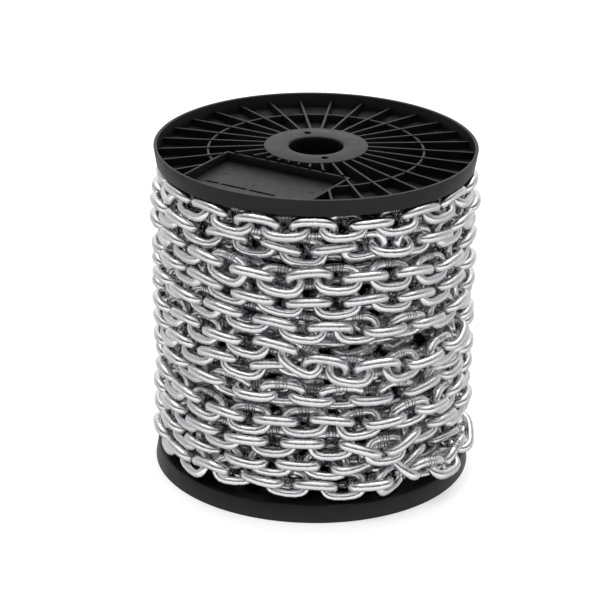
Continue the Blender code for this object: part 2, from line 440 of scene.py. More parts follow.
def zinc_material(finishes, chain):
    """Bright zinc on drawn wire, along each link's own UV map: u runs along the wire and v around it."""
    nodes = Nodes(bpy.data.materials.new("bright zinc plating"))
    uv = nodes.add("ShaderNodeSeparateXYZ", {0: nodes.add("ShaderNodeUVMap", uv_map="wire").outputs[0]})
    link_tone = nodes.add("ShaderNodeAttribute", attribute_name="link_tone", attribute_type="GEOMETRY")
    tone = link_tone.outputs["Fac"]
    length = nodes.math("MULTIPLY", uv.outputs["X"], wire_length(chain) / MM)
    angle = nodes.math("MULTIPLY", uv.outputs["Y"], 2 * math.pi)
    radius = chain.wire / 2 / MM
    across = nodes.math("MULTIPLY", nodes.math("COSINE", angle), radius)
    above = nodes.math("MULTIPLY", nodes.math("SINE", angle), radius)
    shifted = nodes.math("ADD", above, nodes.math("MULTIPLY", tone, LINK_SHIFT))
    on_wire = nodes.add("ShaderNodeCombineXYZ", {0: length, 1: across, 2: shifted}).outputs[0]
    stretched = nodes.add(
        "ShaderNodeCombineXYZ", {0: nodes.math("MULTIPLY", length, 0.12), 1: across, 2: shifted}
    ).outputs[0]
    dents = nodes.noise(on_wire, 0.22, 2.0)
    mottle = nodes.noise(on_wire, 0.55, 4.0)
    drawn = nodes.noise(stretched, 2.6, 4.0, 0.6)
    # The weld sits in the middle of one long side, with the marks of the jaws that held the wire.
    from_weld = nodes.math("ABSOLUTE", nodes.math("SUBTRACT", length, weld_at(chain) / MM))
    weld = nodes.span(from_weld, WELD_HALF_OUT, WELD_HALF_IN, smooth=True)
    tooth_angle = nodes.math("MULTIPLY", from_weld, 2 * math.pi / TOOTH_PITCH)
    teeth = nodes.math("MULTIPLY", nodes.math("SINE", tooth_angle), 0.5)
    marks = nodes.math("MULTIPLY", teeth, weld)
    colour = tuple(finishes.zinc)
    plated = nodes.mix(nodes.span(mottle, 0.35, 0.68), scaled(colour, 0.90), scaled(colour, 1.05))
    toned = nodes.mix(nodes.span(tone, 0.0, 1.0, 0.0, 0.35), plated, scaled(colour, 0.80))
    # Painted shade: the base colour is darkened in the low grooves of the jaw marks, where shade falls; the
    # marks' relief itself comes from the bump further down
    groove_shade = nodes.math("MULTIPLY", nodes.span(marks, 0.0, -0.4), 0.8)
    groove_shaded_zinc = nodes.mix(groove_shade, toned, scaled(colour, 0.30))
    nodes.feed(nodes.shader.inputs["Base Color"], groove_shaded_zinc)
    rough = finishes.zinc_roughness
    bright = nodes.span(mottle, 0.3, 0.7, rough - 0.04, rough + 0.07)
    dulled = nodes.math("ADD", bright, nodes.math("MULTIPLY", tone, 0.09))
    nodes.feed(nodes.shader.inputs["Roughness"], dulled)
    nodes.shader.inputs["Metallic"].default_value = 1.0
    dented = nodes.bump(dents, 0.0010, 0.25)
    lined = nodes.bump(drawn, 0.00010, 0.28, dented)
    nodes.feed(nodes.shader.inputs["Normal"], nodes.bump(marks, 0.0005, 0.9, lined))
    return nodes.owner


def floor_material():
    """Pale matt floor, lit from beneath as well, with a very faint unevenness."""
    nodes = Nodes(bpy.data.materials.new("pale floor"))
    place = nodes.add("ShaderNodeTexCoord").outputs["Object"]
    cloud = nodes.noise(place, 1.2, 2.0)
    nodes.feed(nodes.shader.inputs["Base Color"], nodes.mix(cloud, (0.60, 0.60, 0.60), (0.64, 0.64, 0.64)))
    nodes.shader.inputs["Roughness"].default_value = 0.9
    nodes.shader.inputs["Specular IOR Level"].default_value = 0.0
    nodes.shader.inputs["Emission Color"].default_value = (1.0, 1.0, 1.0, 1.0)
    nodes.shader.inputs["Emission Strength"].default_value = 0.5
    return nodes.owner


def dress(obj, material):
    obj.data.materials.clear()
    obj.data.materials.append(material)


def finish_piece(obj, material, slot, *replaced):
    """Gives a piece its material and body, and hides the nodes that it stands for. The slot is not used."""
    dress(obj, material)
    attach(obj, BODY)
    if replaced:
        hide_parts(*replaced)


# Flanges

FLANGE_SEGMENTS = 180
ROOT = 0.7 * MM  # how far ribs and walls reach into what carries them
EDGE_ROUND = 0.3 * MM
SLIT_W = 2.2 * MM
SLIT_FROM_WALL = 36.6 * MM
SLIT_SPANS = ((-34.2 * MM, -25.2 * MM), (-23.6 * MM, -5.6 * MM), (-3.8 * MM, 14.0 * MM))
CATCH_CELL = 8
CATCH_FROM_BARREL = 13.2 * MM
CATCH_L = 8.2 * MM
CATCH_W = 6.4 * MM
# Marks that the mould's ejector pins leave in the recess's floor: from its long wall, and along it
EJECTOR_MARKS = ((21.4 * MM, -30.0 * MM), (30.0 * MM, -4.1 * MM), (21.4 * MM, 30.0 * MM))
EJECTOR_R = 2.2 * MM
EJECTOR_DEPTH = 0.15 * MM


def rim_inner_r(reel, height):
    return reel.flange_r - reel.rim_draft * (1 - height / reel.rim_h) - reel.rim_wall


def grow_ring(obj_radius, new_radius):
    """Extrudes the selected round face in place and scales it to a new radius."""
    bpy.ops.mesh.extrude_region_move(TRANSFORM_OT_translate={"value": (0, 0, 0)})
    share = new_radius / obj_radius
    bpy.ops.transform.resize(value=(share, share, 1), center_override=(0, 0, 0))


def raise_face(distance):
    bpy.ops.mesh.extrude_region_move(TRANSFORM_OT_translate={"value": (0, 0, distance)})


def model_plate(reel):
    """Hub, web and rim, drawn out of one disc, open side up and its web's winding face at height 0."""
    deselect()
    bpy.ops.mesh.primitive_cylinder_add(
        vertices=FLANGE_SEGMENTS, radius=reel.flange_r, depth=reel.rim_h, end_fill_type="NGON",
        location=(0, 0, reel.rim_h / 2),
    )
    plate = bpy.context.object
    bpy.ops.object.transform_apply(location=True, rotation=True, scale=True)
    hub_top = reel.rim_h - reel.hub_drop
    outer_at_web = reel.flange_r - reel.rim_draft
    inner_top, inner_web = rim_inner_r(reel, reel.rim_h), rim_inner_r(reel, reel.web_t)
    edit(plate)
    select_points(lambda p: p.z < reel.rim_h / 2)
    share = outer_at_web / reel.flange_r
    bpy.ops.transform.resize(value=(share, share, 1), center_override=(0, 0, 0))
    grow_ring(outer_at_web, reel.bore_r)
    select_faces(lambda c, n: n.z > 0.9 and c.z > reel.rim_h - 0.1 * MM)
    grow_ring(reel.flange_r, inner_top)
    raise_face(reel.web_t - reel.rim_h)
    share = inner_web / inner_top
    bpy.ops.transform.resize(value=(share, share, 1), center_override=(0, 0, 0))
    grow_ring(inner_web, reel.hub_r)
    raise_face(hub_top - reel.web_t)
    grow_ring(reel.hub_r, reel.bore_r)
    select_faces(lambda c, n: c.xy.length < reel.bore_r / 2 and abs(n.z) > 0.9)
    bpy.ops.mesh.bridge_edge_loops()
    select_rings((reel.flange_r, reel.rim_h), (inner_top, reel.rim_h), (outer_at_web, 0))
    bpy.ops.mesh.bevel(offset=reel.rim_round, segments=3, affect="EDGES")
    select_rings((reel.bore_r, hub_top))
    bpy.ops.mesh.bevel(offset=reel.bore_round, segments=5, affect="EDGES")
    select_rings((reel.hub_r, hub_top), (reel.bore_r, 0))
    bpy.ops.mesh.bevel(offset=reel.rim_round / 2, segments=2, affect="EDGES")
    leave_edit()
    return plate


def model_ribs(reel):
    """The radial ribs: one blade that falls from the hub to the rim, copied around."""
    inner, outer = reel.hub_r - ROOT, rim_inner_r(reel, reel.web_t) + ROOT
    top = reel.rim_h - reel.rib_drop_hub
    blade = box_between(
        "blade", (inner, -reel.rib_t / 2, reel.web_t - ROOT), (outer, reel.rib_t / 2, top)
    )
    edit(blade)
    select_points(lambda p: p.x > inner + ROOT and p.z > reel.web_t)
    bpy.ops.transform.translate(value=(0, 0, reel.rib_drop_hub - reel.rib_drop_rim))
    bm = bmesh.from_edit_mesh(blade.data)
    bpy.ops.mesh.select_mode(type="EDGE")
    bpy.ops.mesh.select_all(action="DESELECT")
    for edge in bm.edges:
        a, b = (v.co for v in edge.verts)
        edge.select_set(abs(a.x - b.x) > ROOT and min(a.z, b.z) > reel.web_t)
    bmesh.update_edit_mesh(blade.data)
    bpy.ops.mesh.bevel(offset=EDGE_ROUND, segments=2, affect="EDGES")
    leave_edit()
    pitch = 2 * math.pi / reel.rib_count
    blades = [copy_of(blade, "blade", Matrix.Rotation(k * pitch, 4, "Z")) for k in range(1, reel.rib_count)]
    return join("ribs", [blade, *blades])


def model_ring_rib(reel):
    """The ring rib, straight above the barrel's edge."""
    inner, outer = reel.barrel_r - reel.rib_t / 2, reel.barrel_r + reel.rib_t / 2
    low, high = reel.web_t - ROOT / 2, reel.rim_h - reel.ring_drop
    ring = pin("ring rib", outer, (0, 0), low, high, FLANGE_SEGMENTS)
    edit(ring)
    select_faces(lambda c, n: n.z > 0.9)
    grow_ring(outer, inner)
    select_faces(lambda c, n: n.z < -0.9)
    grow_ring(outer, inner)
    select_faces(lambda c, n: c.xy.length < inner / 2 and abs(n.z) > 0.9)
    bpy.ops.mesh.bridge_edge_loops()
    select_rings((outer, high), (inner, high))
    bpy.ops.mesh.bevel(offset=EDGE_ROUND, segments=2, affect="EDGES")
    leave_edit()
    return ring


def turn_to_recess(reel, obj):
    obj.data.transform(Matrix.Rotation(reel.recess_azimuth, 4, "Z"))
    return obj


def model_recess_room(reel):
    """What is cleared of ribs inside the label recess."""
    half = reel.recess_w / 2 + reel.rib_t / 2
    low = (reel.recess_start - reel.rib_t / 2, -half, -reel.rim_h)
    high = (2 * reel.flange_r, half, 2 * reel.rim_h)
    return turn_to_recess(reel, box_between("recess room", low, high))


def model_recess_walls(reel):
    """The recess's long wall, with a side wall drawn out of each end until it meets the rim."""
    top, bottom = reel.rim_h - reel.recess_drop, reel.web_t - ROOT / 4
    half, start, wall = reel.recess_w / 2, reel.recess_start, reel.rib_t
    end = math.sqrt((rim_inner_r(reel, reel.web_t) + ROOT) ** 2 - (half + wall) ** 2)
    walls = box_between("recess walls", (start - wall, -half - wall, bottom), (start, half + wall, top))
    edit(walls)
    for side in (-1, 1):
        bpy.ops.mesh.select_all(action="SELECT")
        bpy.ops.mesh.bisect(plane_co=(0, side * half, 0), plane_no=(0, 1, 0))
    for side in (-1, 1):
        select_faces(lambda c, n: n.x > 0.9 and side * c.y > half)
        bpy.ops.mesh.extrude_region_move(TRANSFORM_OT_translate={"value": (end - start, 0, 0)})
    bm = bmesh.from_edit_mesh(walls.data)
    bpy.ops.mesh.select_mode(type="EDGE")
    bpy.ops.mesh.select_all(action="DESELECT")
    for edge in bm.edges:
        on_top = all(v.co.z > top - 0.01 * MM for v in edge.verts)
        edge.select_set(on_top and (not edge.is_manifold or edge.calc_face_angle(0) > 1))
    bmesh.update_edit_mesh(walls.data)
    bpy.ops.mesh.bevel(offset=EDGE_ROUND, segments=2, affect="EDGES")
    leave_edit()
    return turn_to_recess(reel, walls)


def model_holes(reel):
    """Cutters for the screw holes, the slits, the catch hole and the shallow ejector marks."""
    below, above = -reel.web_t, 2 * reel.rim_h
    cutters = []
    for azimuth in (reel.screw_azimuth, reel.screw_azimuth + math.pi):
        place = (reel.screw_circle_r * math.cos(azimuth), reel.screw_circle_r * math.sin(azimuth))
        cutters.append(pin("screw hole", reel.screw_r, place, below, above))
    near = reel.recess_start + SLIT_FROM_WALL - SLIT_W / 2
    for first, last in SLIT_SPANS:
        slit = box_between("slit", (near, first, below), (near + SLIT_W, last, above))
        cutters.append(turn_to_recess(reel, slit))
    for out, along in EJECTOR_MARKS:
        place = (reel.recess_start + out, along)
        mark = pin("ejector mark", EJECTOR_R, place, reel.web_t - EJECTOR_DEPTH, above, 24)
        cutters.append(turn_to_recess(reel, mark))
    middle = reel.barrel_r + CATCH_FROM_BARREL
    low = (middle - CATCH_L / 2, -CATCH_W / 2, below)
    high = (middle + CATCH_L / 2, CATCH_W / 2, above)
    catch = box_between("catch hole", low, high)
    catch.data.transform(Matrix.Rotation((CATCH_CELL + 0.5) * 2 * math.pi / reel.rib_count, 4, "Z"))
    cutters.append(catch)
    return cutters


def model_flange(reel):
    flange = model_plate(reel)
    ribs = model_ribs(reel)
    combine(ribs, "UNION", model_ring_rib(reel))
    combine(ribs, "DIFFERENCE", model_recess_room(reel))
    combine(flange, "UNION", ribs)
    combine(flange, "UNION", model_recess_walls(reel))
    for cutter in model_holes(reel):
        combine(flange, "DIFFERENCE", cutter)
    activate(flange)
    bpy.ops.object.shade_smooth_by_angle(angle=math.radians(32))
    return flange


class REEL_OT_flanges(bpy.types.Operator):
    """Model both flanges of the reel, with their rims, hubs and ribs"""

    bl_idname = "chain_reel.flanges"
    bl_label = "Flanges"

    def execute(self, context):
        reel = context.scene.reel_sizes
        top = model_flange(reel)
        top.name = "top_flange_moulding"
        turned_over = Matrix.Translation((0, 0, BOTTOM_BOX[1][2])) @ Matrix.Rotation(math.pi, 4, "X")
        bottom = copy_of(top, "bottom_flange_moulding", turned_over)
        top.data.transform(Matrix.Translation((0, 0, TOP_BOX[0][2])))
        material = plastic_material(context.scene.finishes)
        finish_piece(top, material, PLASTIC_SLOT, "top_flange")
        finish_piece(bottom, material, PLASTIC_SLOT, "bottom_flange")
        return {"FINISHED"}


class REEL_OT_barrel(bpy.types.Operator):
    """Finish the barrel, whose solid stays as it is"""

    bl_idname = "chain_reel.barrel"
    bl_label = "Barrel"

    def execute(self, context):
        barrel = bpy.data.objects["barrel"]
        dress(barrel, plastic_material(context.scene.finishes))
        return {"FINISHED"}


# Chain: where its turns run

# One turn of the chain, in millimetres and degrees, azimuth 0 being the photo's front: its heights around
# the reel, how far it stands out from its layer, how far it is twisted from the chain's usual lean, and the
# azimuth of a link that lies on its edge. The outer turns follow the photo, and run level at the back.
Turn = namedtuple("Turn", "heights out twist edge_link")
OUTER_TURNS = (
    Turn(
        heights=(
            (-75, 24.5), (-50, 25), (-20, 24), (0, 23.9), (30, 23.6), (48, 26), (64, 26),
            (85, 21.5), (-130, 21.8),
        ),
        out=((0, 0.5), (32, 0), (48, -10), (64, -10), (85, 0), (180, 0)),
        twist=((-10, 5), (10, -5), (180, 0)),
        edge_link=1.5,
    ),
    Turn(
        heights=(
            (-75, 35), (-62, 35.5), (-47, 34.5), (-30, 34), (-15, 37), (0, 37), (18, 34.5),
            (29, 34), (38, 30), (50, 21.5), (60, 19), (78, 31), (130, 37), (-130, 37),
        ),
        out=((0, -1.8), (29, -3), (48, 4), (64, 4), (90, 0), (180, 0)),
        twist=((-50, 0), (-30, -22), (10, -22), (32, -45), (62, -52), (90, 0), (180, 0)),
        edge_link=-5,
    ),
    Turn(
        heights=(
            (-75, 51), (-50, 49), (-30, 50), (-10, 49.5), (10, 46.5), (20, 43), (29, 41.5),
            (40, 44), (50, 47.5), (62, 48), (75, 48), (130, 52.3), (-130, 52.3),
        ),
        out=((0, 0), (30, 1.5), (60, 0), (180, 0)),
        twist=((10, 0), (29, -42), (40, -20), (50, 0), (180, 0)),
        edge_link=-4.4,
    ),
    Turn(
        heights=(
            (-75, 67), (-60, 66), (-46, 64.5), (-30, 60.5), (0, 62.7), (20, 64),
            (28, 64.5), (40, 69), (50, 69), (64, 67), (90, 67), (130, 67.4), (-130, 67.4),
        ),
        out=((0, 1.8), (60, 0.5), (180, 0)),
        twist=((-60, 0), (-20, 5), (18, 5), (29, -35), (40, 0), (50, -45), (65, 0), (180, 0)),
        edge_link=6.8,
    ),
    Turn(
        heights=(
            (-75, 84.5), (-43, 84.5), (-25, 82.8), (0, 83.5), (25, 82), (45, 80),
            (75, 80.5), (130, 82.6), (-130, 82.6),
        ),
        out=((-40, 0), (0, -2), (30, -4), (60, -2), (180, 0)),
        twist=(
            (-90, -20), (-50, 0), (-25, -40), (20, -42), (45, -20), (65, -40), (100, 0),
            (180, 0),
        ),
        edge_link=-1.1,
    ),
    Turn(
        heights=(
            (-75, 97.5), (-50, 99), (-36, 100.5), (-25, 98.5), (-15, 99), (-5, 97),
            (10, 92.5), (28, 90.5), (50, 89.5), (75, 93), (130, 97.9), (-130, 97.9),
        ),
        out=((-40, 1), (-18, -1), (-2, -9), (45, -8), (75, 0), (180, 0)),
        twist=((-90, 0), (-20, 6), (180, 0)),
        edge_link=-16.5,
    ),
    Turn(
        heights=(
            (-75, 112), (-51, 114), (-30, 113.5), (-15, 111), (-5, 103), (4, 96), (15, 95),
            (27, 96.5), (45, 98), (57, 96), (75, 106), (130, 113), (-130, 113),
        ),
        out=((-40, 0), (-15, 1.5), (0, 4), (30, 3), (60, 1), (90, 0), (180, 0)),
        twist=(
            (-50, 0), (-30, 4), (-8, 18), (22, 20), (35, 0), (47, -48), (62, -30), (85, 0),
            (180, 0),
        ),
        edge_link=3.6,
    ),
    Turn(
        heights=(
            (-75, 130.5), (-63, 133), (-47, 132), (-30, 129.5), (0, 125.9), (25, 125),
            (38, 122.5), (50, 120.5), (75, 122), (130, 128.3), (-130, 128.3),
        ),
        out=((0, 0), (180, 0)),
        twist=((-60, 0), (-47, -38), (-34, 0), (12, -3), (24, -40), (38, -40), (52, 0), (180, 0)),
        edge_link=5.8,
    ),
    Turn(
        heights=(
            (-75, 147), (-50, 148), (-25, 145), (0, 142), (25, 143), (40, 139.5),
            (50, 138.5), (75, 139.5), (130, 143.5), (-130, 143.5),
        ),
        out=((0, -0.5), (180, 0)),
        twist=((-95, -35), (-70, 0), (0, -7), (55, 0), (75, -35), (100, 0), (180, 0)),
        edge_link=-2.3,
    ),
    Turn(
        heights=(
            (-75, 162.5), (-50, 163.5), (-25, 159.8), (-12, 158), (0, 158.3), (25, 158),
            (33, 156), (42, 154), (52, 153.5), (75, 156), (130, 158.7), (-130, 158.7),
        ),
        out=((-60, 1), (-24, 3), (20, 3), (60, 1), (180, 0)),
        twist=((-75, 0), (-12, 0), (20, 4), (42, -5), (60, -20), (80, 0), (180, 0)),
        edge_link=-1.7,
    ),
    Turn(
        heights=(
            (-90, 174.5), (-75, 177), (-57, 179), (-38, 176), (-20, 174), (0, 173.2),
            (18, 175.5), (28, 177), (40, 175), (55, 172.5), (75, 172.5), (130, 173.9),
            (-130, 173.9),
        ),
        out=((-90, 3), (-60, 0), (-28, -7), (14, -8), (32, -1), (90, 1.8), (180, 0)),
        twist=((-90, 0), (-55, 12), (-20, -10), (10, -14), (28, -45), (42, -10), (55, 0), (180, 0)),
        edge_link=7.4,
    ),
    Turn(
        heights=(
            (-75, 190.9), (-20, 190.8), (0, 190.5), (30, 191.5), (50, 191.3), (75, 189.5),
            (130, 189.1), (-130, 189.1),
        ),
        out=((-95, -3), (-60, -1), (0, -0.5), (90, 0), (-140, 0)),
        twist=(
            (-75, 0), (-50, 15), (-22, 30), (0, 28), (20, -5), (35, 18), (55, 15), (90, 0),
            (180, 0),
        ),
        edge_link=-0.6,
    ),
)
INNER_TURN_COUNT = 11
CLIMB_FROM, CLIMB_TO = 110.0, 180.0  # the chain climbs to its next turn between these azimuths, at the back
AZIMUTH_STEP = 0.25
LAY_PITCH = 16.6 * MM  # links lie a little tighter than the pitch
ROLL_DRIFT, ROLL_PLAY = 14, 6  # how far links roll by chance, in degrees: along a run of them, and each one


def bend_r(chain):
    return (chain.width - chain.wire) / 2


def half_straight(chain):
    return (chain.pitch + chain.wire) / 2 - bend_r(chain)


def wire_length(chain):
    return 4 * half_straight(chain) + 2 * math.pi * bend_r(chain)


def weld_at(chain):
    """Where the weld lies along the wire: the middle of the second long side."""
    return wire_length(chain) * 0.75


def wire_line(chain, count):
    """Points along the middle of a link's wire: x along the chain, y across it."""
    straight, bend = half_straight(chain), bend_r(chain)
    quarter = wire_length(chain) / 4
    points = []
    for k in range(count):
        side, along = divmod((k + 0.5) / count * 4 * quarter, quarter)
        if along < math.pi / 2 * bend:
            x, y = straight + bend * math.cos(along / bend), bend * math.sin(along / bend)
        else:
            x, y = straight + math.pi / 2 * bend - along, bend
        if side in (1, 3):
            along = quarter - along
            if along < math.pi / 2 * bend:
                x, y = -straight - bend * math.cos(along / bend), bend * math.sin(along / bend)
            else:
                x, y = -(straight + math.pi / 2 * bend - along), bend
        turn = -1 if side > 1 else 1
        points.append((turn * x, turn * y, 0.0))
    return np.array(points)


def around(keys, azimuth):
    """A smooth value around the reel, from (azimuth, value) keys in degrees."""
    keys = sorted(keys)
    places = np.array([key[0] for key in keys], float)
    values = np.array([key[1] for key in keys], float)
    places = np.concatenate([[places[-1] - 360], places, [places[0] + 360]])
    values = np.concatenate([[values[-1]], values, [values[0]]])
    azimuth = (np.asarray(azimuth, float) + 180) % 360 - 180
    k = np.clip(np.searchsorted(places, azimuth) - 1, 0, len(places) - 2)
    share = (azimuth - places[k]) / (places[k + 1] - places[k])
    share = share * share * (3 - 2 * share)
    return values[k] * (1 - share) + values[k + 1] * share


def strand(turns, radius):
    """Closely spaced points along a layer's chain, and which of them hold each turn's link on edge."""
    azimuth = np.arange(-180, 180, AZIMUTH_STEP)
    angle = np.radians(azimuth)
    climb = np.clip((np.abs(azimuth) - CLIMB_FROM) / (CLIMB_TO - CLIMB_FROM), 0, 1)
    climb = climb * climb * (3 - 2 * climb) / 2
    points, marks = [], []
    for number, turn in enumerate(turns):
        height = around(turn.heights, azimuth)
        for other, side in ((number + 1, azimuth > 0), (number - 1, azimuth < 0)):
            if 0 <= other < len(turns):
                beyond = around(turns[other].heights, azimuth)
                height = np.where(side, height * (1 - climb) + beyond * climb, height)
        out = radius + MM * around(turn.out, azimuth)
        points.append(np.stack([out * np.sin(angle), -out * np.cos(angle), MM * height], 1))
        marks.append(number * len(azimuth) + round((turn.edge_link + 180) / AZIMUTH_STEP))
    return np.concatenate(points), marks


Links = namedtuple("Links", "centre along number turn")


def lay_links(turns, radius):
    """Links along a strand, spaced so that each turn's marked place holds a link on edge."""
    points, marks = strand(turns, radius)
    steps = np.linalg.norm(np.diff(points, axis=0), axis=1)
    length = np.concatenate([[0], np.cumsum(steps)])
    groove_shaded_zinc = [length[k] for k in marks]
    places, numbers = [], []
    first = 0
    for start, end in zip(groove_shaded_zinc, groove_shaded_zinc[1:]):
        count = max(2, 2 * round((end - start) / LAY_PITCH / 2))
        places += [start + (end - start) * k / count for k in range(count)]
        numbers += range(first, first + count)
        first += count
    before = int((groove_shaded_zinc[0] - LAY_PITCH / 2) // LAY_PITCH)
    after = int((length[-1] - groove_shaded_zinc[-1]) // LAY_PITCH)
    places = [groove_shaded_zinc[0] - k * LAY_PITCH for k in range(before, 0, -1)] + places
    numbers = list(range(-before, 0)) + numbers
    places += [groove_shaded_zinc[-1] + k * LAY_PITCH for k in range(after)]
    numbers += range(first, first + after)
    places, numbers = np.array(places), np.array(numbers)

    def at(distance):
        return np.stack([np.interp(distance, length, points[:, k]) for k in range(3)], 1)

    reach = LAY_PITCH / 2
    turn_ends = length[np.arange(1, len(turns)) * (len(points) // len(turns))]
    own_turn = np.searchsorted(turn_ends, places)
    return Links(at(places), at(places + reach) - at(places - reach), numbers, own_turn)


def link_turns(links, turns, chain, rng):
    """Each link's rotation, as columns (along, across, normal): on edge and flat links take turns."""
    azimuth = np.degrees(np.arctan2(links.centre[:, 0], -links.centre[:, 1]))
    twist = np.zeros(len(azimuth))
    for number, turn in enumerate(turns):
        own = links.turn == number
        twist[own] = np.radians(around(turn.twist, azimuth[own]))
    along = links.along / np.linalg.norm(links.along, axis=1, keepdims=True)
    out = links.centre * (1, 1, 0)
    out -= (out * along).sum(1, keepdims=True) * along
    out /= np.linalg.norm(out, axis=1, keepdims=True)
    up = np.cross(out, along)
    drift = np.convolve(rng.normal(0, 1, len(out) + 6), np.ones(7) / 7, "valid")
    play = rng.normal(0, np.radians(ROLL_PLAY), len(out))
    roll = chain.lean + twist + np.radians(ROLL_DRIFT) * drift + play
    roll = roll - np.where(links.number % 2 == 0, 0, math.pi / 2)
    across = np.cos(roll)[:, None] * out + np.sin(roll)[:, None] * up
    return np.stack([along, across, np.cross(along, across)], axis=2)


# Chain: how its links settle


def rotations(vectors):
    """Rotation matrices of small rotation vectors."""
    angle = np.linalg.norm(vectors, axis=1, keepdims=True)
    x, y, z = (vectors / np.maximum(angle, 1e-12)).T
    zero = np.zeros_like(x)
    rows = ([zero, -z, y], [z, zero, -x], [-y, x, zero])
    cross = np.stack([np.stack(row, 1) for row in rows], 1)
    sin, cos = np.sin(angle)[:, :, None], np.cos(angle)[:, :, None]
    return np.eye(3) + sin * cross + (1 - cos) * (cross @ cross)


def near_pairs(centre, reach):
    """Pairs of links whose centres lie nearer than a reach."""
    first, second = [], []
    for start in range(0, len(centre), 100):
        apart = np.linalg.norm(centre[start:start + 100, None] - centre[None], axis=2)
        a, b = np.nonzero(apart < reach)
        keep = a + start < b
        first.append(a[keep] + start)
        second.append(b[keep])
    return np.concatenate(first), np.concatenate(second)


def outward(points):
    flat = points * (1, 1, 0)
    return flat / np.linalg.norm(flat, axis=1, keepdims=True)


